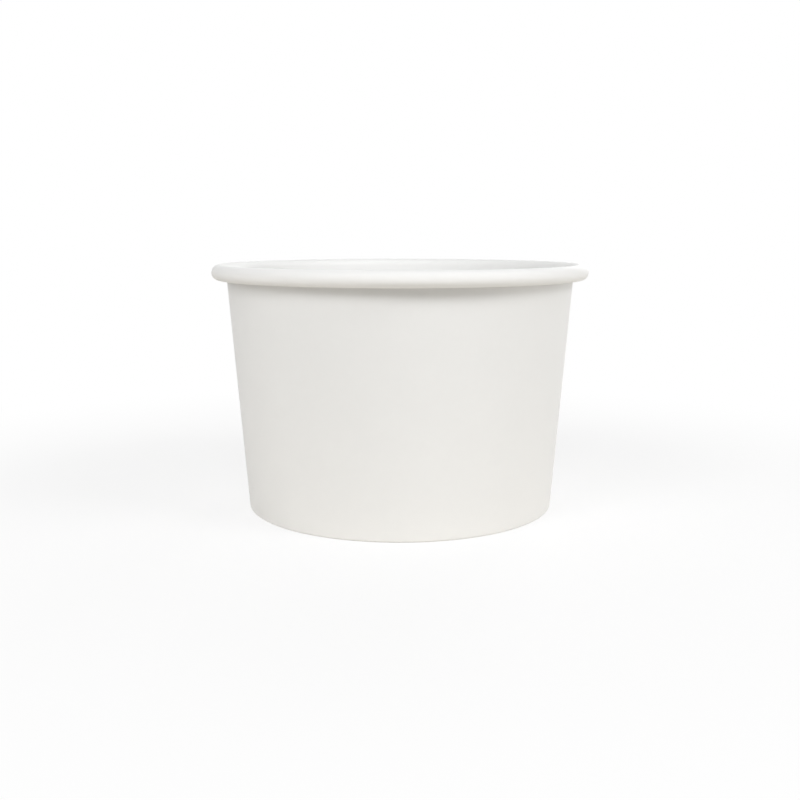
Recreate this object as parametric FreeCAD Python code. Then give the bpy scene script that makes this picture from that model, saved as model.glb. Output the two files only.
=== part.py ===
"""Paper sundae cup: a conical board wall with a rolled rim, closed by a base disc sealed into its foot.

Millimetres, +Z up. The origin is the centre of the foot on the table, and the side seam's outer edge is at +X.
"""

import FreeCAD
import Part
import math
import os

from FreeCAD import Vector

# Overall sizes
rim_diameter = 90.0
base_diameter = 74.3
cup_height = 58.7

# Board, with its coating
wall_board = 0.38
base_board = 0.34
seal_gap = 0.02

# Rolled rim
roll_diameter = 3.8
roll_gap = 0.08
roll_turn = 430.0

# Foot, where the wall is folded in and up round the skirt of the base
hem_height = 6.0
fold_radius = 0.08
hem_to_panel = 0.9

# Base disc
base_bend_radius = 0.5

# Side seam: the outer end of the wall climbs over a short run and laps the inner end
seam_angle = 0.0
seam_lap = 7.0
seam_run = 2.0
seam_press_height = 1.5
seam_step_height = 1.5

# Each flat facet of the seam's run turns through no more than this
run_facet_degrees = 1.0

AXIS = Vector(0, 0, 1)
ORIGIN = Vector(0, 0, 0)
DOWN = Vector(0, 0, -1)
HALF_TURN = 180.0
FULL_TURN = 360.0

rim_radius = rim_diameter / 2
base_radius = base_diameter / 2
roll_radius = roll_diameter / 2
roll_pitch = wall_board + roll_gap
roll_centre = Vector(rim_radius - roll_radius, 0, cup_height - roll_radius)


def taper_angle():
    """The wall's lean from upright: its outer face starts at the foot, and its inner face is tangent to the roll."""
    across = roll_centre.x - base_radius
    return math.acos((roll_radius - wall_board) / math.hypot(across, roll_centre.z)) - math.atan2(roll_centre.z, across)


taper = taper_angle()
UP_SLOPE = Vector(math.sin(taper), 0, math.cos(taper))
OUT_SLOPE = Vector(math.cos(taper), 0, -math.sin(taper))

# Depths into the cup from the wall's outer face, square to it
skirt_outer_depth = wall_board + seal_gap
skirt_inner_depth = skirt_outer_depth + base_board
hem_food_depth = skirt_inner_depth + seal_gap
hem_outer_depth = hem_food_depth + wall_board

# Heights above the table
fold_centre_height = wall_board + fold_radius
panel_underside = hem_height + hem_to_panel
panel_top = panel_underside + base_board
groove_start = panel_top + base_bend_radius
groove_end = groove_start + seam_step_height

# Angles that the parts of the side seam take up, at the foot's radius
lap_degrees = math.degrees(seam_lap / base_radius)
run_degrees = math.degrees(seam_run / base_radius)
run_start = seam_angle + lap_degrees
body_start = run_start + run_degrees
body_degrees = FULL_TURN - lap_degrees - run_degrees


def slope_point(depth, height):
    """The point at a height, on the line that lies a depth inside the wall's outer face."""
    return Vector(base_radius + (height * math.sin(taper) - depth) / math.cos(taper), 0, height)


def roll_direction(turn):
    """The direction from the roll's centre after the board has turned that far over the top and outwards."""
    angle = math.radians(turn)
    return UP_SLOPE * math.sin(angle) - OUT_SLOPE * math.cos(angle)


def arc(centre, radius, start, end):
    """The short way round a centre, from one direction to another."""
    middle = (start + end).normalize()
    return Part.Arc(centre + start * radius, centre + middle * radius, centre + end * radius).toShape()


def roll_edges(shift, turn):
    """Half-turn arcs of a two-centre spiral, a shift inside the board's food side, from the wall to the board's end."""
    edges = []
    done = 0.0
    half = 0
    while done < turn:
        end = min(done + HALF_TURN, turn)
        centre = roll_centre + OUT_SLOPE * (half % 2 * roll_pitch / 2)
        radius = roll_radius - half * roll_pitch / 2 - shift
        points = [centre + roll_direction(angle) * radius for angle in (done, (done + end) / 2, end)]
        edges.append(Part.Arc(*points).toShape())
        done = end
        half += 1
    return edges


def fold_edges(depth, hem_depth, radius):
    """One face of the fold under the foot: from the wall, round and under, to the turned-in hem."""
    wall_centre = slope_point(depth + radius, fold_centre_height)
    hem_centre = slope_point(hem_depth - radius, fold_centre_height)
    under = Part.LineSegment(wall_centre + DOWN * radius, hem_centre + DOWN * radius).toShape()
    return [arc(wall_centre, radius, OUT_SLOPE, DOWN), under, arc(hem_centre, radius, DOWN, OUT_SLOPE * -1)]


def lines_through(points):
    """Straight edges that join the points in order."""
    return [Part.LineSegment(a, b).toShape() for a, b in zip(points, points[1:])]


def start_of(edge):
    """The point where an edge starts."""
    return edge.valueAt(edge.FirstParameter)


def end_of(edge):
    """The point where an edge ends."""
    return edge.valueAt(edge.LastParameter)


def closed_wire(edges):
    """One closed outline from edges in any order."""
    return Part.Wire(Part.sortEdges(edges)[0])


def wall_section(food_shift, outer_shift, turn):
    """The board's outline from hem to roll. Above the foot, each of its faces is moved outwards by its shift."""
    food_fold = fold_edges(wall_board, hem_food_depth, fold_radius)
    outer_fold = fold_edges(0.0, hem_outer_depth, fold_radius + wall_board)
    food_roll = roll_edges(food_shift, turn)
    outer_roll = roll_edges(wall_board + outer_shift, turn)
    food_wall = lines_through([
        start_of(food_fold[0]),
        slope_point(wall_board, groove_start),
        slope_point(wall_board - food_shift, groove_end),
        start_of(food_roll[0]),
    ])
    outer_wall = lines_through([
        start_of(outer_fold[0]),
        slope_point(-outer_shift, fold_centre_height + seam_press_height),
        start_of(outer_roll[0]),
    ])
    hem_tops = [slope_point(depth, hem_height) for depth in (hem_food_depth, hem_outer_depth)]
    hem = lines_through([end_of(food_fold[2]), *hem_tops, end_of(outer_fold[2])])
    roll_end = lines_through([end_of(food_roll[-1]), end_of(outer_roll[-1])])
    return closed_wire(food_fold + food_wall + food_roll + roll_end + outer_roll + outer_wall + outer_fold + hem)


def turned(shape, angle):
    """A copy of a shape in the XZ plane, turned about the cup's axis."""
    return shape.rotated(ORIGIN, AXIS, angle)


def swept(wire, start, angle):
    """The solid that a section sweeps about the cup's axis."""
    return turned(Part.Face(wire), start).revolve(ORIGIN, AXIS, angle)


def lap_turn():
    """How far both boards roll where they lap, before they meet the doubled wall."""
    reach = roll_radius - 1.5 * wall_board - roll_gap / 2
    return HALF_TURN + math.degrees(math.acos(-reach / (roll_radius - roll_pitch / 2)))


def seam_climb():
    """The short run where the outer end of the wall climbs from the inner board's place to lie on top of it."""
    facets = math.ceil(run_degrees / run_facet_degrees)
    sections = []
    for step in range(facets + 1):
        part_way = step / facets
        shift = wall_board * (1 - part_way)
        sections.append(turned(wall_section(shift, shift, roll_turn), run_start + run_degrees * part_way))
    return Part.makeLoft(sections, True, True)


def side_wall():
    """One blank, wrapped and lapped at the back, rolled out at the rim and turned in at the foot."""
    body = swept(wall_section(0.0, 0.0, roll_turn), body_start, body_degrees)
    lap = swept(wall_section(0.0, wall_board, lap_turn()), seam_angle, lap_degrees)
    return body.fuse([lap, seam_climb()]).removeSplitter()


def base_disc():
    """A flat panel with a turned-down skirt, gripped between the wall and the hem."""
    skirt_foot = fold_centre_height + seal_gap
    bend_depth = skirt_inner_depth + base_bend_radius
    bend_centre = slope_point(bend_depth, panel_underside - base_bend_radius)
    inner_bend = arc(bend_centre, base_bend_radius, OUT_SLOPE, AXIS)
    outer_bend = arc(bend_centre, base_bend_radius + base_board, AXIS, OUT_SLOPE)
    skirt = lines_through([
        end_of(outer_bend),
        slope_point(skirt_outer_depth, skirt_foot),
        slope_point(skirt_inner_depth, skirt_foot),
        start_of(inner_bend),
    ])
    panel = lines_through([
        end_of(inner_bend),
        Vector(0, 0, panel_underside),
        Vector(0, 0, panel_top),
        start_of(outer_bend),
    ])
    return swept(closed_wire([outer_bend, inner_bend] + skirt + panel), 0.0, FULL_TURN)


def main():
    """Writes each piece to its own file."""
    os.makedirs("parts", exist_ok=True)
    side_wall().exportStep("parts/side_wall.step")
    base_disc().exportStep("parts/base_disc.step")


main()
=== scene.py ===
"""Looks of the paper sundae cup: its formed board, its finishes, and the studio that it stands in.

Everything is in metres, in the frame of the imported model: +Z up, the origin at the centre of the foot.
"""

import logging
import math
from dataclasses import dataclass, field
from enum import Enum
from typing import Callable

import bpy
import numpy as np
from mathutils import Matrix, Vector


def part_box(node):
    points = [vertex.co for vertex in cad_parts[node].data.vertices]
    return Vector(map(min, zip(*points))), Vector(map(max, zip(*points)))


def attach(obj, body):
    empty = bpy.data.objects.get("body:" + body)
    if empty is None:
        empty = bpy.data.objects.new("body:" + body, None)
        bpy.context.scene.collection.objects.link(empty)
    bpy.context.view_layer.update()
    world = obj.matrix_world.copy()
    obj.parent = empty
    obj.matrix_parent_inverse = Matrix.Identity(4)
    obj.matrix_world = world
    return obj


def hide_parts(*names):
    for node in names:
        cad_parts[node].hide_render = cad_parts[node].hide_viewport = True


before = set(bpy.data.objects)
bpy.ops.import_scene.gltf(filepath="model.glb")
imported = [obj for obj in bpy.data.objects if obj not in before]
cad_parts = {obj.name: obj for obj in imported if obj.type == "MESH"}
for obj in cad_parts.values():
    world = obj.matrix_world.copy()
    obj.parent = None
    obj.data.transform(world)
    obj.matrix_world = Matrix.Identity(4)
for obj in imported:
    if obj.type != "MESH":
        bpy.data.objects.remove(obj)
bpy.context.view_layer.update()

MM = 0.001
QUARTER_TURN = math.radians(90)
HALF_TURN = math.radians(180)
FULL_TURN = math.radians(360)
UP = Vector((0, 0, 1))
WHITE = (1.0, 1.0, 1.0, 1.0)

SAME_POINT = 1e-3 * MM
WELD_DISTANCE = 1e-4 * MM
SHARP_ANGLE = math.radians(40)

CUT_EDGE = "cut_edge"
FOOD_SIDE = "food_side"
BOARD_MAP = "board_map"

Colour = tuple[float, float, float, float]

log = logging.getLogger("sundae_cup")


class CoatSide(Enum):
    """The two faces of the board, by their place through it."""

    FOOD = 0
    OUTER = 1


def direction(angle: float) -> Vector:
    """The unit vector at an angle in the XZ plane, from +X towards +Z."""
    return Vector((math.cos(angle), 0, math.sin(angle)))


@dataclass
class SectionLine:
    """The food side of a board's section in the XZ plane, with a point for each row of the formed sheet.

    The rest of the board is to the right of its travel.
    """

    points: list[Vector] = field(default_factory=list)

    def add(self, point: Vector) -> None:
        """Adds a point, unless the line is already there."""
        if not self.points or (self.points[-1] - point).length > SAME_POINT:
            self.points.append(point)

    def straight(self, end: Vector, steps: int) -> None:
        """Goes straight to a point.

        Args:
            end: where the run ends.
            steps: how many rows it takes.
        """
        start = self.points[-1]
        for step in range(1, steps + 1):
            self.add(start.lerp(end, step / steps))

    def bend(self, centre: Vector, radius: float, start: float, sweep: float, steps: int) -> None:
        """Goes round a centre.

        Args:
            centre: the centre of the bend.
            radius: the radius of the food side.
            start: the angle that the bend starts at, in the XZ plane.
            sweep: the angle that it goes through, positive from +X towards +Z.
            steps: how many rows it takes.
        """
        for step in range(steps + 1):
            self.add(centre + direction(start + sweep * step / steps) * radius)

    def distances(self) -> np.ndarray:
        """How far along the board each row is."""
        gaps = [(b - a).length for a, b in zip(self.points, self.points[1:])]
        return np.concatenate([[0.0], np.cumsum(gaps)])

    def as_curve(self, name: str) -> bpy.types.Object:
        """The line as a curve that a node tree can sample.

        Args:
            name: the name of the helper object.

        Returns:
            The helper object, which isn't part of the cup.
        """
        curve = bpy.data.curves.new(name, "CURVE")
        curve.dimensions = "3D"
        spline = curve.splines.new("POLY")
        spline.points.add(len(self.points) - 1)
        for place, point in zip(spline.points, self.points):
            place.co = (*point, 1.0)
        helper = bpy.data.objects.new(name, curve)
        bpy.context.scene.collection.objects.link(helper)
        return helper


class Nodes:
    """A node tree, with short ways to add nodes and to join them."""

    def __init__(self, tree: bpy.types.NodeTree) -> None:
        """Takes the tree that the nodes go into."""
        self.tree = tree

    def add(
        self, kind: str, inputs: dict[str | int, object] | None = None, **settings: object
    ) -> bpy.types.Node:
        """Adds a node.

        Args:
            kind: the node's type.
            inputs: a value or a socket for each input, by name or number.
            **settings: its properties.

        Returns:
            The node.
        """
        node = self.tree.nodes.new(kind)
        for name, value in settings.items():
            setattr(node, name, value)
        for name, value in (inputs or {}).items():
            self.feed(node.inputs[name], value)
        return node

    def feed(self, target: bpy.types.NodeSocket, value: object) -> None:
        """Gives an input a value, or joins it to another node's output.

        Args:
            target: the input.
            value: a value, or the output to join.
        """
        if isinstance(value, bpy.types.NodeSocket):
            self.tree.links.new(value, target)
        else:
            target.default_value = value

    def math(self, operation: str, *values: object) -> bpy.types.NodeSocket:
        """One Math node on up to three values, each a number or a socket."""
        return self.add("ShaderNodeMath", dict(enumerate(values)), operation=operation).outputs[0]

    def vector(self, operation: str, *values: object) -> bpy.types.NodeSocket:
        """One Vector Math node on up to three vectors, each a value or a socket."""
        return self.add("ShaderNodeVectorMath", dict(enumerate(values)), operation=operation).outputs[0]

    def scaled(self, vector: bpy.types.NodeSocket, factor: object) -> bpy.types.NodeSocket:
        """A vector times a number."""
        inputs = {0: vector, "Scale": factor}
        return self.add("ShaderNodeVectorMath", inputs, operation="SCALE").outputs[0]

    def ease(
        self, value: bpy.types.NodeSocket, start: object, end: object, low: float, high: float
    ) -> bpy.types.NodeSocket:
        """Goes smoothly from one level to another while a value goes from a start to an end.

        Args:
            value: what the level follows.
            start: the value where the change starts, as a number or a socket.
            end: the value where it ends.
            low: the level up to the start.
            high: the level from the end.

        Returns:
            The level.
        """
        inputs = {"Value": value, "From Min": start, "From Max": end, "To Min": low, "To Max": high}
        return self.add("ShaderNodeMapRange", inputs, interpolation_type="SMOOTHSTEP").outputs[0]

    def blend(self, share: bpy.types.NodeSocket, first: Colour, second: Colour) -> bpy.types.NodeSocket:
        """Mixes two colours, with a share of the second from 0 to 1."""
        inputs = {"Factor": share, "A": first, "B": second}
        return self.add("ShaderNodeMix", inputs, data_type="RGBA").outputs["Result"]

    def either(
        self, share: bpy.types.NodeSocket, first: bpy.types.NodeSocket, second: bpy.types.NodeSocket
    ) -> bpy.types.NodeSocket:
        """Mixes two shaders, with a share of the second from 0 to 1."""
        return self.add("ShaderNodeMixShader", {0: share, 1: first, 2: second}).outputs[0]


@dataclass(frozen=True)
class CoatedBoard:
    """White board under a thin satin coat, cloudy where its fibres lie thick or thin, and a little uneven.

    Its coordinates are the flat sheet's own, so the grain follows the board round every bend. The wide
    clouds and the finer mottle make its colour. The mottle also makes it smoother or rougher.
    """

    name: str = "satin_coated_board"
    thin_colour: Colour = (0.808, 0.812, 0.806, 1)
    thick_colour: Colour = (0.842, 0.846, 0.840, 1)
    cloud_size: float = 9 * MM
    cloud_detail: float = 3.0
    cloud_share: float = 0.55
    mottle_size: float = 1.6 * MM
    mottle_detail: float = 4.0
    mottle_where_smooth: float = 0.3
    mottle_where_rough: float = 0.7
    fibre_size: float = 0.16 * MM
    fibre_detail: float = 3.0
    fibre_height: float = 0.004 * MM
    grain: tuple[float, float, float] = (0.22, 1.0, 1.0)
    ripple_size: float = 0.9 * MM
    ripple_detail: float = 1.0
    ripple_height: float = 0.002 * MM
    least_roughness: float = 0.42
    most_roughness: float = 0.56
    specular: float = 0.28

    def make(self) -> bpy.types.Material:
        """Builds the material.

        Returns:
            The material, which reads the sheet's own map.
        """
        material, nodes, shader = new_material(self.name)
        sheet = nodes.add("ShaderNodeUVMap", uv_map=BOARD_MAP).outputs[0]
        clouds = noise(nodes, sheet, self.cloud_size, self.cloud_detail)
        mottle = noise(nodes, sheet, self.mottle_size, self.mottle_detail)
        along_grain = nodes.vector("MULTIPLY", sheet, self.grain)
        fibres = noise(nodes, along_grain, self.fibre_size, self.fibre_detail)
        ripple = noise(nodes, sheet, self.ripple_size, self.ripple_detail)
        fine = nodes.math("MULTIPLY", mottle, 1 - self.cloud_share)
        thickness = nodes.math("MULTIPLY_ADD", clouds, self.cloud_share, fine)
        nodes.feed(shader.inputs["Base Color"], nodes.blend(thickness, self.thin_colour, self.thick_colour))
        roughness = nodes.ease(
            mottle,
            self.mottle_where_smooth,
            self.mottle_where_rough,
            self.least_roughness,
            self.most_roughness,
        )
        nodes.feed(shader.inputs["Roughness"], roughness)
        shader.inputs["Specular IOR Level"].default_value = self.specular
        low = bump(nodes, ripple, self.ripple_height)
        nodes.feed(shader.inputs["Normal"], bump(nodes, fibres, self.fibre_height, low))
        return material


@dataclass(frozen=True)
class FoodSideCoat(CoatedBoard):
    """The slightly whiter and duller coat of the food side, which also shows on the rim's roll."""

    name: str = "food_side_coat"
    thin_colour: Colour = (0.862, 0.862, 0.852, 1)
    thick_colour: Colour = (0.892, 0.892, 0.882, 1)
    least_roughness: float = 0.58
    most_roughness: float = 0.70


@dataclass(frozen=True)
class CutBoardEdge:
    """The bare, creamy fibre that shows where the board is cut."""

    name: str = "cut_board_edge"
    pale_colour: Colour = (0.80, 0.775, 0.72, 1)
    dark_colour: Colour = (0.68, 0.645, 0.575, 1)
    fibre_size: float = 0.12 * MM
    fibre_detail: float = 3.0
    fibre_height: float = 0.03 * MM
    roughness: float = 0.9

    def make(self) -> bpy.types.Material:
        """Builds the material.

        Returns:
            The material, which takes its fibres from the object's own coordinates.
        """
        material, nodes, shader = new_material(self.name)
        place = nodes.add("ShaderNodeTexCoord").outputs["Object"]
        fibres = noise(nodes, place, self.fibre_size, self.fibre_detail)
        nodes.feed(shader.inputs["Base Color"], nodes.blend(fibres, self.dark_colour, self.pale_colour))
        shader.inputs["Roughness"].default_value = self.roughness
        nodes.feed(shader.inputs["Normal"], bump(nodes, fibres, self.fibre_height))
        return material


def new_material(name: str) -> tuple[bpy.types.Material, Nodes, bpy.types.Node]:
    """Starts a node material.

    Args:
        name: the material's name.

    Returns:
        The material, its nodes, and its main shader, which is already joined to the output.
    """
    material = bpy.data.materials.new(name)
    material.use_nodes = True
    nodes = Nodes(material.node_tree)
    shader = next(n for n in material.node_tree.nodes if n.type == "BSDF_PRINCIPLED")
    return material, nodes, shader


def noise(nodes: Nodes, place: bpy.types.NodeSocket, size: float, detail: float) -> bpy.types.NodeSocket:
    """Soft noise whose blotches are about as wide as a size, in metres."""
    inputs = {"Vector": place, "Scale": 1 / size, "Detail": detail}
    return nodes.add("ShaderNodeTexNoise", inputs).outputs[0]


def bump(
    nodes: Nodes, height: bpy.types.NodeSocket, most: float, under: bpy.types.NodeSocket | None = None
) -> bpy.types.NodeSocket:
    """Adds fine relief to a surface's shading.

    Args:
        nodes: the material's nodes.
        height: the height, from 0 to 1.
        most: how far 1 stands up, in metres.
        under: another bump that this one lies on, or None.

    Returns:
        The surface's direction.
    """
    node = nodes.add("ShaderNodeBump", {"Height": height, "Distance": most, "Strength": 1.0})
    if under is not None:
        nodes.feed(node.inputs["Normal"], under)
    return node.outputs[0]


@dataclass(frozen=True)
class BoardFinishes:
    """The materials of one board: its two coated faces and its cut edge."""

    outer: bpy.types.Material
    food: bpy.types.Material
    edge: bpy.types.Material


@dataclass(frozen=True)
class BoardSizes:
    """The cup's sizes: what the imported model's boxes give, and what they don't show."""

    rim_radius: float
    cup_height: float
    panel_top: float
    base_radius: float = 37.15 * MM
    wall_board: float = 0.38 * MM
    base_board: float = 0.34 * MM
    seal_gap: float = 0.02 * MM
    roll_radius: float = 1.9 * MM
    roll_gap: float = 0.08 * MM
    hem_height: float = 6.0 * MM
    fold_radius: float = 0.08 * MM
    base_bend_radius: float = 0.5 * MM

    @property
    def roll_pitch(self) -> float:
        """How much one turn of the roll is inside the last."""
        return self.wall_board + self.roll_gap

    @property
    def roll_centre(self) -> Vector:
        """The centre of the rim's roll."""
        return Vector((self.rim_radius - self.roll_radius, 0, self.cup_height - self.roll_radius))

    @property
    def taper(self) -> float:
        """The wall's lean from upright.

        Returns:
            The angle at which the wall's food side, from the foot, is tangent to the roll.
        """
        across, rise = self.roll_centre.x - self.base_radius, self.roll_centre.z
        reach = math.hypot(across, rise)
        return math.acos((self.roll_radius - self.wall_board) / reach) - math.atan2(rise, across)

    @property
    def fold_height(self) -> float:
        """How high the centres of the foot's two bends are."""
        return self.wall_board + self.fold_radius

    @property
    def skirt_depth(self) -> float:
        """How deep inside the wall's outer face the base's skirt starts."""
        return self.wall_board + self.seal_gap

    @property
    def hem_depth(self) -> float:
        """How deep inside the wall's outer face the hem's food side is."""
        return self.skirt_depth + self.base_board + self.seal_gap

    def on_slope(self, depth: float, height: float) -> Vector:
        """The point at a height, on the line that lies a depth inside the wall's outer face."""
        across = (height * math.sin(self.taper) - depth) / math.cos(self.taper)
        return Vector((self.base_radius + across, 0, height))


@dataclass
class FormedSheet:
    """A flat blank that a node tree forms into a piece of the cup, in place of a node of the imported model.

    The blank is a slab in its own terms: X is the angle round the cup from its first end, Y the distance
    along the section, and Z is 0 on its food side and 1 on its outer side. Cut out flat, it is a fan: its
    first row lies at the fan's radius, and the fan's angle is a share of the angle round the cup. A closed
    blank is a disc, and only its far edge is cut.
    """

    name: str
    node: str
    line: SectionLine
    board: float
    turn: float
    columns: int
    first_angle: float
    fan_radius: float
    fan_share: float
    closed: bool

    def blank(self) -> bpy.types.Object:
        """Lays out the flat blank.

        Returns:
            An object with the slab as its mesh, its map in metres, and its cut edges marked.
        """
        rows = len(self.line.points)
        angles = np.linspace(0.0, self.turn, self.columns + 1)
        along = self.line.distances()
        sides = np.array([side.value for side in CoatSide], float)
        through, angle, distance = np.meshgrid(sides, angles, along, indexing="ij")
        number = np.arange(through.size).reshape(through.shape)
        food, outer = number
        inside = quads(food[::-1])
        faces = inside + quads(outer)
        edges = quads(np.stack([outer[:, -1], food[:, -1]], axis=1))
        if not self.closed:
            edges += quads(np.stack([food[:, 0], outer[:, 0]], axis=1))
            edges += quads(np.stack([food[0], outer[0]], axis=0))
            edges += quads(np.stack([outer[-1], food[-1]], axis=0))
        places = np.stack([angle.ravel(), distance.ravel(), through.ravel()], axis=1)
        mesh = bpy.data.meshes.new(self.name)
        mesh.from_pydata(places.tolist(), [], faces + edges)
        mark_faces(mesh, FOOD_SIDE, range(len(inside)))
        mark_faces(mesh, CUT_EDGE, range(len(faces), len(faces) + len(edges)))
        self.map_blank(mesh, places)
        log.info("%s: blank of %d by %d", self.name, self.columns, rows)
        piece = bpy.data.objects.new(self.name, mesh)
        bpy.context.scene.collection.objects.link(piece)
        return piece

    def map_blank(self, mesh: bpy.types.Mesh, places: np.ndarray) -> None:
        """Maps the blank in metres, as the sheet was cut: a fan for the wall and a disc for the base.

        Args:
            mesh: the blank.
            places: its points.
        """
        corners = np.empty(len(mesh.loops), int)
        mesh.loops.foreach_get("vertex_index", corners)
        angle, along, through = places[corners].T
        radius = self.fan_radius + along + through * self.board
        fan_angle = (angle - self.turn / 2) * self.fan_share
        flat = np.stack([radius * np.sin(fan_angle), radius * np.cos(fan_angle) - self.fan_radius], axis=1)
        layer = mesh.uv_layers.new(name=BOARD_MAP)
        layer.data.foreach_set("uv", flat.ravel())

    def formed(
        self, tree: "FormingTree", finishes: BoardFinishes, values: dict[str, float]
    ) -> bpy.types.Object:
        """Forms the blank with a node tree, and keeps the result as a plain mesh.

        Args:
            tree: the tree that forms it.
            finishes: the board's finishes.
            values: the tree's further inputs by name.

        Returns:
            The finished piece.
        """
        piece = self.blank()
        helper = self.line.as_curve(self.name + "_line")
        inputs: dict[str, object] = {
            "Section": helper,
            "Board": self.board,
            "First Angle": self.first_angle,
            "Outer Coat": finishes.outer,
            "Food Coat": finishes.food,
            "Cut Edge": finishes.edge,
            **values,
        }
        modifier = piece.modifiers.new(tree.tree.name, "NODES")
        modifier.node_group = tree.tree
        for name, value in inputs.items():
            modifier[tree.identifiers[name]] = value
        depsgraph = bpy.context.evaluated_depsgraph_get()
        mesh = bpy.data.meshes.new_from_object(piece.evaluated_get(depsgraph), depsgraph=depsgraph)
        piece.modifiers.clear()
        piece.data = mesh
        mesh.name = self.name
        bpy.data.objects.remove(helper)
        mesh.shade_smooth()
        mesh.set_sharp_from_angle(angle=SHARP_ANGLE)
        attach(piece, "root")
        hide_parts(self.node)
        log.info("%s: %d faces, stands for %s", piece.name, len(mesh.polygons), self.node)
        return piece


def mark_faces(mesh: bpy.types.Mesh, mark: str, chosen: range) -> None:
    """Marks a run of a mesh's faces, so that a node tree finds them.

    Args:
        mesh: the mesh.
        mark: the mark's name.
        chosen: the numbers of the faces.
    """
    marks = mesh.attributes.new(mark, "BOOLEAN", "FACE")
    marks.data.foreach_set("value", [number in chosen for number in range(len(mesh.polygons))])


def quads(grid: np.ndarray) -> list[tuple[int, int, int, int]]:
    """Faces between the neighbours of a grid of point numbers."""
    corners = grid[:-1, :-1], grid[1:, :-1], grid[1:, 1:], grid[:-1, 1:]
    return list(zip(*(corner.ravel().tolist() for corner in corners)))


class FormingTree:
    """Geometry nodes that bend a flat blank to its section and round the cup."""

    SHARED_INPUTS = {
        "Section": "NodeSocketObject",
        "Board": "NodeSocketFloat",
        "First Angle": "NodeSocketFloat",
        "Outer Coat": "NodeSocketMaterial",
        "Food Coat": "NodeSocketMaterial",
        "Cut Edge": "NodeSocketMaterial",
    }

    def __init__(self, name: str, sizes: dict[str, str]) -> None:
        """Starts the tree, with the inputs that every sheet has and a named input for each further size.

        Args:
            name: the tree's name.
            sizes: the kind of socket for each further size.
        """
        self.tree = bpy.data.node_groups.new(name, "GeometryNodeTree")
        self.tree.interface.new_socket("Geometry", in_out="INPUT", socket_type="NodeSocketGeometry")
        self.tree.interface.new_socket("Geometry", in_out="OUTPUT", socket_type="NodeSocketGeometry")
        self.identifiers = {}
        for label, kind in {**self.SHARED_INPUTS, **sizes}.items():
            socket = self.tree.interface.new_socket(label, in_out="INPUT", socket_type=kind)
            self.identifiers[label] = socket.identifier
        self.nodes = Nodes(self.tree)
        self.given = self.nodes.add("NodeGroupInput").outputs
        place = self.nodes.add("GeometryNodeInputPosition").outputs[0]
        parts = self.nodes.add("ShaderNodeSeparateXYZ", {0: place})
        self.angle, self.along, self.through = parts.outputs

    def on_section(self, along: bpy.types.NodeSocket) -> tuple[bpy.types.NodeSocket, bpy.types.NodeSocket]:
        """Finds a point of the section's line.

        Args:
            along: how far along the line it is.

        Returns:
            The point, and the direction through the board there, away from the food side.
        """
        nodes = self.nodes
        section = nodes.add(
            "GeometryNodeObjectInfo", {"Object": self.given["Section"]}, transform_space="ORIGINAL"
        )
        sample = nodes.add(
            "GeometryNodeSampleCurve",
            {"Curves": section.outputs["Geometry"], "Length": along},
            mode="LENGTH",
            data_type="FLOAT",
        )
        travel = nodes.add("ShaderNodeSeparateXYZ", {0: sample.outputs["Tangent"]}).outputs
        back = nodes.math("MULTIPLY", travel["X"], -1.0)
        right = nodes.add("ShaderNodeCombineXYZ", {"X": travel["Z"], "Z": back}).outputs[0]
        return sample.outputs["Position"], nodes.vector("NORMALIZE", right)

    def form(
        self,
        along: bpy.types.NodeSocket,
        depth: bpy.types.NodeSocket,
        wave: Callable[[bpy.types.NodeSocket], bpy.types.NodeSocket] | None = None,
    ) -> None:
        """Finishes the tree: bends the blank, turns it round the cup, and gives it its finishes.

        Args:
            along: how far along the section each point lies.
            depth: how far it lies from the section's line, through the board.
            wave: how far a point at a place is pushed out, as a function of the place, or None.
        """
        nodes, given = self.nodes, self.given
        point, through = self.on_section(along)
        turn = nodes.math("ADD", self.angle, given["First Angle"])
        place = self.turned(nodes.vector("ADD", point, nodes.scaled(through, depth)), turn)
        if wave is not None:
            push = nodes.scaled(self.turned(through, turn), wave(place))
            place = nodes.vector("ADD", place, push)
        bent = nodes.add("GeometryNodeSetPosition", {"Geometry": given["Geometry"], "Position": place})
        welded = nodes.add(
            "GeometryNodeMergeByDistance", {"Geometry": bent.outputs[0], "Distance": WELD_DISTANCE}
        )
        real = nodes.add("GeometryNodeRealizeInstances", {0: welded.outputs[0]})
        coated = nodes.add(
            "GeometryNodeSetMaterial", {"Geometry": real.outputs[0], "Material": given["Outer Coat"]}
        )
        inside = self.finished(coated.outputs[0], FOOD_SIDE, given["Food Coat"])
        cut = self.finished(inside, CUT_EDGE, given["Cut Edge"])
        nodes.add("NodeGroupOutput", {"Geometry": cut})

    def finished(
        self, shape: bpy.types.NodeSocket, mark: str, finish: bpy.types.NodeSocket
    ) -> bpy.types.NodeSocket:
        """Gives the marked faces their finish.

        Args:
            shape: the piece so far.
            mark: the name of the mark on the faces.
            finish: the material for them.

        Returns:
            The piece with that finish.
        """
        marked = self.nodes.add("GeometryNodeInputNamedAttribute", {"Name": mark}, data_type="BOOLEAN")
        inputs = {"Geometry": shape, "Selection": marked.outputs[0], "Material": finish}
        return self.nodes.add("GeometryNodeSetMaterial", inputs).outputs[0]

    def turned(self, vector: bpy.types.NodeSocket, turn: bpy.types.NodeSocket) -> bpy.types.NodeSocket:
        """A vector turned about the cup's axis."""
        inputs = {"Vector": vector, "Angle": turn}
        return self.nodes.add("ShaderNodeVectorRotate", inputs, rotation_type="Z_AXIS").outputs[0]


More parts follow.
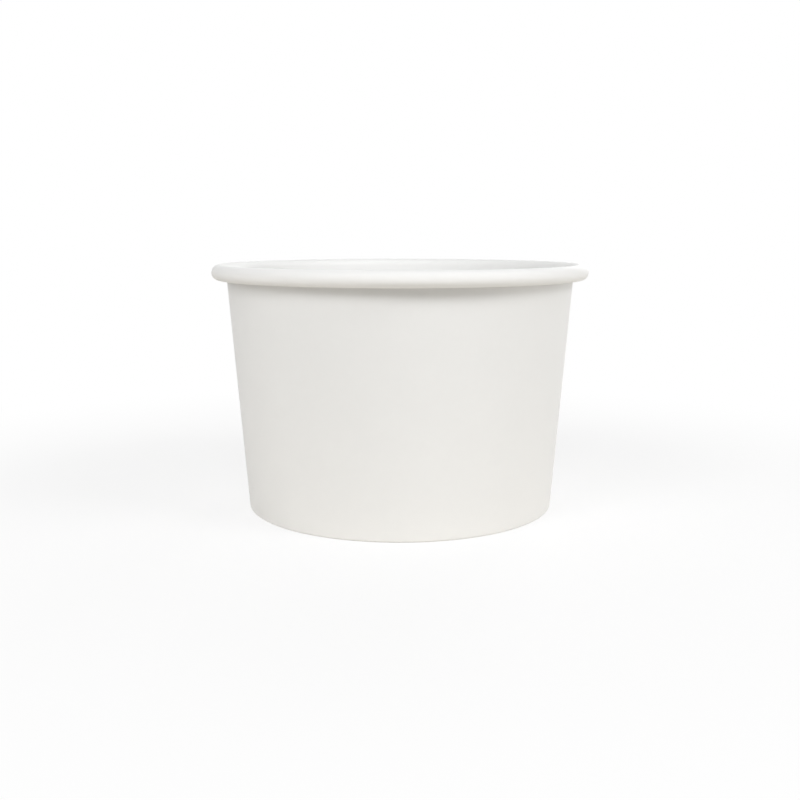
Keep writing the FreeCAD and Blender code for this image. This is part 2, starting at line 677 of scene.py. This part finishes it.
@dataclass
class SideWall:
    """The wall: one blank, lapped at its side seam, rolled out at the rim, and folded in and up at the foot.

    In the foot its two ends are pressed into one board's thickness, half of it each, and above it they lie
    on each other.
    """

    sizes: BoardSizes
    finishes: BoardFinishes
    seam_angle: float = 0.0
    seam_lap: float = 7.0 * MM
    seam_run: float = 2.0 * MM
    press_run: float = 1.5 * MM
    pressed_share: float = 0.5
    roll_turn: float = math.radians(430)
    seam_roll_turn: float = math.radians(320)
    knurl_depth: float = 0.13 * MM
    knurl_ease: float = 0.2
    knurls: int = 150
    columns_per_knurl: int = 4
    hem_steps: int = 7
    bend_steps: int = 6
    press_steps: int = 3
    wall_steps: int = 12
    roll_steps: int = 36
    waviness: float = 0.05 * MM
    wave_size: float = 24 * MM
    wave_detail: float = 1.0
    wave_seed: float = 3.0

    @property
    def lap_angle(self) -> float:
        """How far the ends lap, as an angle round the cup."""
        return self.seam_lap / self.sizes.base_radius

    @property
    def run_angle(self) -> float:
        """How far the outer end takes to climb, as an angle round the cup."""
        return self.seam_run / self.sizes.base_radius

    def line(self) -> tuple[SectionLine, float, float]:
        """Draws the section from the hem's cut edge to the roll's.

        Returns:
            The line, how far along it the fold ends, and how far along it the roll starts.
        """
        sizes = self.sizes
        lean = sizes.taper
        out = direction(-lean)
        hem_bend = sizes.on_slope(sizes.hem_depth - sizes.fold_radius, sizes.fold_height)
        wall_bend = sizes.on_slope(sizes.wall_board + sizes.fold_radius, sizes.fold_height)
        line = SectionLine([sizes.on_slope(sizes.hem_depth, sizes.hem_height)])
        line.straight(hem_bend - out * sizes.fold_radius, self.hem_steps)
        line.bend(hem_bend, sizes.fold_radius, HALF_TURN - lean, QUARTER_TURN + lean, self.bend_steps)
        line.bend(wall_bend, sizes.fold_radius, -QUARTER_TURN, QUARTER_TURN - lean, self.bend_steps)
        fold_end = len(line.points) - 1
        roll_start = sizes.roll_centre - out * sizes.roll_radius
        press_end = sizes.on_slope(sizes.wall_board, sizes.fold_height + self.press_run)
        line.straight(press_end, self.press_steps)
        line.straight(roll_start, self.wall_steps)
        roll_first = len(line.points) - 1
        self.roll(line, HALF_TURN - lean)
        along = line.distances()
        return line, along[fold_end], along[roll_first]

    def roll(self, line: SectionLine, start: float) -> None:
        """Adds the rim's roll, a spiral of half turns about two centres.

        Args:
            line: the section so far, which ends where the roll starts.
            start: the angle in the XZ plane from the roll's centre to where it starts.
        """
        sizes = self.sizes
        out = direction(-sizes.taper)
        halves = math.ceil(self.roll_turn / HALF_TURN)
        for half in range(halves):
            centre = sizes.roll_centre + out * (half % 2 * sizes.roll_pitch / 2)
            radius = sizes.roll_radius - half * sizes.roll_pitch / 2
            sweep = min(self.roll_turn - half * HALF_TURN, HALF_TURN)
            steps = round(self.roll_steps * sweep / self.roll_turn)
            line.bend(centre, radius, start - half * HALF_TURN, -sweep, steps)

    def tree(self) -> FormingTree:
        """Builds the node tree, with the seam, the pressed ribs of the hem and the board's slight waves.

        Returns:
            The tree, whose inputs take the wall's sizes.
        """
        names = (
            "Lap Angle", "Run Angle", "Fold End", "Press Run", "Roll Start", "Roll Trim",
            "Knurls", "Knurl Depth", "Knurl Length", "Wave Height", "Wave Size", "Seed",
        )
        tree = FormingTree("form_side_wall", {name: "NodeSocketFloat" for name in names})
        nodes, given = tree.nodes, tree.given
        on_top, lapped = self.ends(tree)
        depth = nodes.math("MULTIPLY", self.boards_deep(tree, on_top, lapped), given["Board"])
        depth = nodes.math("SUBTRACT", depth, self.knurl_press(tree))
        rolled = nodes.math("MAXIMUM", nodes.math("SUBTRACT", tree.along, given["Roll Start"]), 0.0)
        trim = nodes.math("MULTIPLY", rolled, nodes.math("MULTIPLY", lapped, given["Roll Trim"]))
        tree.form(nodes.math("SUBTRACT", tree.along, trim), depth, lambda place: self.wave(tree, place))
        return tree

    def ends(self, tree: FormingTree) -> tuple[bpy.types.NodeSocket, bpy.types.NodeSocket]:
        """Works out where the wall's two ends lie on each other.

        Args:
            tree: the wall's tree.

        Returns:
            How far a point lies on top, and how far it is in the lap at all, both from 0 to 1.
        """
        nodes, given = tree.nodes, tree.given
        run_end = nodes.math("ADD", given["Lap Angle"], given["Run Angle"])
        on_top = nodes.ease(tree.angle, given["Lap Angle"], run_end, 1.0, 0.0)
        run_start = nodes.math("SUBTRACT", FULL_TURN, given["Run Angle"])
        beneath = nodes.ease(tree.angle, run_start, FULL_TURN, 0.0, 1.0)
        return on_top, nodes.math("MAXIMUM", on_top, beneath)

    def boards_deep(
        self, tree: FormingTree, on_top: bpy.types.NodeSocket, lapped: bpy.types.NodeSocket
    ) -> bpy.types.NodeSocket:
        """Works out how deep a point lies from the section's line, with both ends pressed thin in the foot.

        Args:
            tree: the wall's tree.
            on_top: how far the point lies on top.
            lapped: how far it is in the lap at all.

        Returns:
            The depth in boards.
        """
        nodes, given = tree.nodes, tree.given
        press_end = nodes.math("ADD", given["Fold End"], given["Press Run"])
        free = nodes.ease(tree.along, given["Fold End"], press_end, 0.0, 1.0)
        pressed = nodes.math("MULTIPLY", lapped, nodes.math("SUBTRACT", 1.0, free))
        spare = 1 - self.pressed_share
        fullness = nodes.math("MULTIPLY_ADD", pressed, -spare, 1.0)
        height = nodes.math("MULTIPLY_ADD", free, spare, self.pressed_share)
        return nodes.math("MULTIPLY_ADD", tree.through, fullness, nodes.math("MULTIPLY", on_top, height))

    def knurl_press(self, tree: FormingTree) -> bpy.types.NodeSocket:
        """Works out how far the ribs press the hem's outer side in.

        Args:
            tree: the wall's tree.

        Returns:
            The depth that is pressed in.
        """
        nodes, given = tree.nodes, tree.given
        crest = nodes.math("COSINE", nodes.math("MULTIPLY", tree.angle, given["Knurls"]))
        rib = nodes.math("MULTIPLY_ADD", crest, 0.5, 0.5)
        top_end = nodes.math("MULTIPLY", given["Knurl Length"], self.knurl_ease)
        top = nodes.ease(tree.along, 0.0, top_end, 0.0, 1.0)
        low_start = nodes.math("MULTIPLY", given["Knurl Length"], 1 - self.knurl_ease)
        low = nodes.ease(tree.along, low_start, given["Knurl Length"], 1.0, 0.0)
        band = nodes.math("MULTIPLY", nodes.math("MULTIPLY", top, low), tree.through)
        return nodes.math("MULTIPLY", nodes.math("MULTIPLY", rib, band), given["Knurl Depth"])

    def wave(self, tree: FormingTree, place: bpy.types.NodeSocket) -> bpy.types.NodeSocket:
        """Works out how far the board waves out between the foot and the roll.

        Args:
            tree: the wall's tree.
            place: where the point is.

        Returns:
            How far it is pushed out.
        """
        nodes, given = tree.nodes, tree.given
        scale = nodes.math("DIVIDE", 1.0, given["Wave Size"])
        inputs = {"Vector": place, "W": given["Seed"], "Scale": scale, "Detail": self.wave_detail}
        waves = nodes.add("ShaderNodeTexNoise", inputs, noise_dimensions="4D").outputs[0]
        centred = nodes.math("MULTIPLY_ADD", waves, 2.0, -1.0)
        low_end = nodes.math("ADD", given["Fold End"], given["Wave Size"])
        high_end = nodes.math("SUBTRACT", given["Roll Start"], given["Wave Size"])
        low = nodes.ease(tree.along, given["Fold End"], low_end, 0.0, 1.0)
        high = nodes.ease(tree.along, high_end, given["Roll Start"], 1.0, 0.0)
        band = nodes.math("MULTIPLY", nodes.math("MULTIPLY", low, high), given["Wave Height"])
        return nodes.math("MULTIPLY", centred, band)

    def build(self) -> bpy.types.Object:
        """Forms the wall.

        Returns:
            The finished wall.
        """
        line, fold_end, roll_start = self.line()
        turn = FULL_TURN + self.lap_angle
        column = FULL_TURN / (self.knurls * self.columns_per_knurl)
        sheet = FormedSheet(
            name="wall_board",
            node="side_wall",
            line=line,
            board=self.sizes.wall_board,
            turn=turn,
            columns=round(turn / column),
            first_angle=self.seam_angle,
            fan_radius=self.sizes.base_radius / math.sin(self.sizes.taper) - fold_end,
            fan_share=math.sin(self.sizes.taper),
            closed=False,
        )
        values = {
            "Lap Angle": self.lap_angle,
            "Run Angle": self.run_angle,
            "Fold End": fold_end,
            "Press Run": self.press_run,
            "Roll Start": roll_start,
            "Roll Trim": 1 - self.seam_roll_turn / self.roll_turn,
            "Knurls": float(self.knurls),
            "Knurl Depth": self.knurl_depth,
            "Knurl Length": self.sizes.hem_height - self.sizes.fold_height,
            "Wave Height": self.waviness,
            "Wave Size": self.wave_size,
            "Seed": self.wave_seed,
        }
        return sheet.formed(self.tree(), self.finishes, values)


@dataclass
class BaseDisc:
    """The base: a flat panel with a skirt that goes down between the wall and the hem."""

    sizes: BoardSizes
    finishes: BoardFinishes
    columns: int = 240
    panel_steps: int = 10
    bend_steps: int = 8
    skirt_steps: int = 4

    def line(self) -> SectionLine:
        """Draws the section from the middle of the panel to the skirt's cut edge.

        Returns:
            The line, along the board's food side.
        """
        sizes = self.sizes
        bend = sizes.base_bend_radius + sizes.base_board
        centre = sizes.on_slope(sizes.skirt_depth + bend, sizes.panel_top - bend)
        line = SectionLine([Vector((0, 0, sizes.panel_top))])
        line.straight(centre + UP * bend, self.panel_steps)
        line.bend(centre, bend, QUARTER_TURN, -QUARTER_TURN - sizes.taper, self.bend_steps)
        line.straight(sizes.on_slope(sizes.skirt_depth, sizes.fold_height + sizes.seal_gap), self.skirt_steps)
        return line

    def tree(self) -> FormingTree:
        """Builds the node tree.

        Returns:
            The tree, which needs no sizes beyond those that every sheet has.
        """
        tree = FormingTree("form_base_disc", {})
        tree.form(tree.along, tree.nodes.math("MULTIPLY", tree.through, tree.given["Board"]))
        return tree

    def build(self) -> bpy.types.Object:
        """Forms the base.

        Returns:
            The finished base.
        """
        sheet = FormedSheet(
            name="base_board",
            node="base_disc",
            line=self.line(),
            board=self.sizes.base_board,
            turn=FULL_TURN,
            columns=self.columns,
            first_angle=0.0,
            fan_radius=0.0,
            fan_share=1.0,
            closed=True,
        )
        return sheet.formed(self.tree(), self.finishes, {})


@dataclass(frozen=True)
class SoftBox:
    """A square soft lamp that points at the cup.

    Its angles are in degrees, with azimuth 0 in front of the cup and 90 to its right, and its power in watts.
    """

    name: str
    azimuth: float
    elevation: float
    power: float
    distance: float = 0.9
    side: float = 0.3

    def hang(self, target: Vector) -> bpy.types.Object:
        """Hangs the lamp.

        Args:
            target: the point that it lights.

        Returns:
            The lamp.
        """
        turn, rise = math.radians(self.azimuth), math.radians(self.elevation)
        away = Vector((math.sin(turn) * math.cos(rise), -math.cos(turn) * math.cos(rise), math.sin(rise)))
        light = bpy.data.lights.new(self.name, "AREA")
        light.shape = "SQUARE"
        light.size = self.side
        light.energy = self.power
        lamp = bpy.data.objects.new(self.name, light)
        lamp.location = target + away * self.distance
        lamp.rotation_mode = "QUATERNION"
        lamp.rotation_quaternion = away.to_track_quat("Z", "Y")
        lamp.visible_camera = False
        bpy.context.scene.collection.objects.link(lamp)
        log.info("%s: %.2f W", self.name, self.power)
        return lamp


LAMPS = (
    SoftBox("front_box", azimuth=0, elevation=40, power=1.7),
    SoftBox("front_left_box", azimuth=-35, elevation=38, power=1.95),
    SoftBox("left_box", azimuth=-52, elevation=24, power=1.45),
    SoftBox("front_right_box", azimuth=60, elevation=36, power=2.7),
    SoftBox("right_box", azimuth=80, elevation=12, power=1.2),
    SoftBox("back_right_box", azimuth=158, elevation=14, power=2.4),
    SoftBox("back_left_box", azimuth=-165, elevation=30, power=0.7),
)


@dataclass
class Studio:
    """A paper floor in white surroundings, with soft lamps round the cup.

    Near the cup a share of the floor shows its shade, and further off the floor is plain white.
    """

    lamps: tuple[SoftBox, ...] = LAMPS
    fill: float = 0.20
    floor_half: float = 0.24
    floor_front: float = 0.21
    paper_colour: Colour = (0.92, 0.92, 0.92, 1)
    bounce_colour: Colour = (0.85, 0.805, 0.735, 1)
    shade_share: float = 0.25
    shade_near: float = 0.07
    shade_far: float = 0.20

    def floor(self) -> bpy.types.Object:
        """Lays the floor, which ends a little in front of the cup, outside the picture.

        Returns:
            The floor.
        """
        half, front = self.floor_half, self.floor_front
        corners = [(-half, -front, 0), (half, -front, 0), (half, half, 0), (-half, half, 0)]
        mesh = bpy.data.meshes.new("floor")
        mesh.from_pydata(corners, [], [(0, 1, 2, 3)])
        floor = bpy.data.objects.new("floor", mesh)
        bpy.context.scene.collection.objects.link(floor)
        mesh.materials.append(self.floor_material())
        return floor

    def floor_material(self) -> bpy.types.Material:
        """Builds the floor's paper: pale where it is seen, and a little warm in the light that it returns.

        Returns:
            The material, which keeps the cup's shadow near it and is plain white further off.
        """
        material, nodes, paper = new_material("studio_paper")
        paper.inputs["Base Color"].default_value = self.paper_colour
        paper.inputs["Roughness"].default_value = 1.0
        paper.inputs["Specular IOR Level"].default_value = 0.0
        white = nodes.add("ShaderNodeEmission", {"Color": WHITE, "Strength": 1.0}).outputs[0]
        bounce = nodes.add("ShaderNodeBsdfDiffuse", {"Color": self.bounce_colour}).outputs[0]
        place = nodes.add("ShaderNodeTexCoord").outputs["Object"]
        away = nodes.add("ShaderNodeVectorMath", {0: place}, operation="LENGTH").outputs["Value"]
        share = nodes.ease(away, self.shade_near, self.shade_far, 1 - self.shade_share, 1.0)
        shown = nodes.either(share, paper.outputs[0], white)
        output = next(n for n in material.node_tree.nodes if n.type == "OUTPUT_MATERIAL")
        nodes.feed(output.inputs["Surface"], nodes.either(seen_directly(nodes), bounce, shown))
        return material

    def world(self) -> bpy.types.World:
        """Makes the white surroundings and their fill light.

        Returns:
            The world.
        """
        world = bpy.data.worlds.new("studio")
        world.use_nodes = True
        nodes = Nodes(world.node_tree)
        world.node_tree.nodes.clear()
        fill = nodes.add("ShaderNodeBackground", {"Color": WHITE, "Strength": self.fill}).outputs[0]
        white = nodes.add("ShaderNodeBackground", {"Color": WHITE, "Strength": 1.0}).outputs[0]
        nodes.add("ShaderNodeOutputWorld", {"Surface": nodes.either(seen_directly(nodes), fill, white)})
        bpy.context.scene.world = world
        return world

    def build(self, target: Vector) -> None:
        """Sets up the floor, the surroundings and the lamps.

        Args:
            target: the point that the lamps light.
        """
        self.floor()
        self.world()
        for lamp in self.lamps:
            lamp.hang(target)


def seen_directly(nodes: Nodes) -> bpy.types.NodeSocket:
    """Tells the rays that show the studio from the light that falls on things.

    Args:
        nodes: the nodes of a material or of the world.

    Returns:
        1 for rays from the camera, in mirrors or through glass, and 0 for the rest.
    """
    path = nodes.add("ShaderNodeLightPath").outputs
    mirrored = nodes.math("MAXIMUM", path["Is Glossy Ray"], path["Is Transmission Ray"])
    return nodes.math("MAXIMUM", path["Is Camera Ray"], mirrored)


@dataclass(frozen=True)
class PhotoCamera:
    """The photograph's viewpoint, a little above the rim and straight in front of the cup.

    It stands at a distance from the centre of the foot, raised by the elevation, and looks down by the tilt.
    """

    distance: float = 262.8 * MM
    elevation: float = math.radians(14.678)
    tilt: float = math.radians(9.236)
    focal_pixels: float = 1042.2
    frame_pixels: float = 800.0
    sensor: float = 36.0
    clip_start: float = 10 * MM

    def place(self) -> bpy.types.Object:
        """Puts the camera in the scene.

        Returns:
            The camera.
        """
        data = bpy.data.cameras.new("photo_camera")
        data.sensor_width = self.sensor
        data.lens = self.focal_pixels / self.frame_pixels * self.sensor
        data.clip_start = self.clip_start
        camera = bpy.data.objects.new("photo_camera", data)
        reach = self.distance * math.cos(self.elevation)
        camera.location = (0, -reach, self.distance * math.sin(self.elevation))
        camera.rotation_euler = (QUARTER_TURN - self.tilt, 0, 0)
        bpy.context.scene.collection.objects.link(camera)
        bpy.context.scene.camera = camera
        return camera


def cup_sizes() -> BoardSizes:
    """Reads the cup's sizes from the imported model's boxes.

    Returns:
        The sizes.
    """
    wall_low, wall_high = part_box("side_wall")
    _, base_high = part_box("base_disc")
    return BoardSizes(
        rim_radius=(wall_high.x - wall_low.x) / 2,
        cup_height=wall_high.z,
        panel_top=base_high.z,
    )


def main() -> None:
    """Builds the camera, the cup and the studio, in that order."""
    logging.basicConfig(level=logging.INFO, format="%(name)s: %(message)s")
    bpy.context.scene.view_settings.view_transform = "Standard"
    PhotoCamera().place()
    sizes = cup_sizes()
    finishes = BoardFinishes(
        outer=CoatedBoard().make(),
        food=FoodSideCoat().make(),
        edge=CutBoardEdge().make(),
    )
    SideWall(sizes, finishes).build()
    BaseDisc(sizes, finishes).build()
    Studio().build(Vector((0, 0, sizes.cup_height / 2)))


if __name__ == "__main__":
    main()
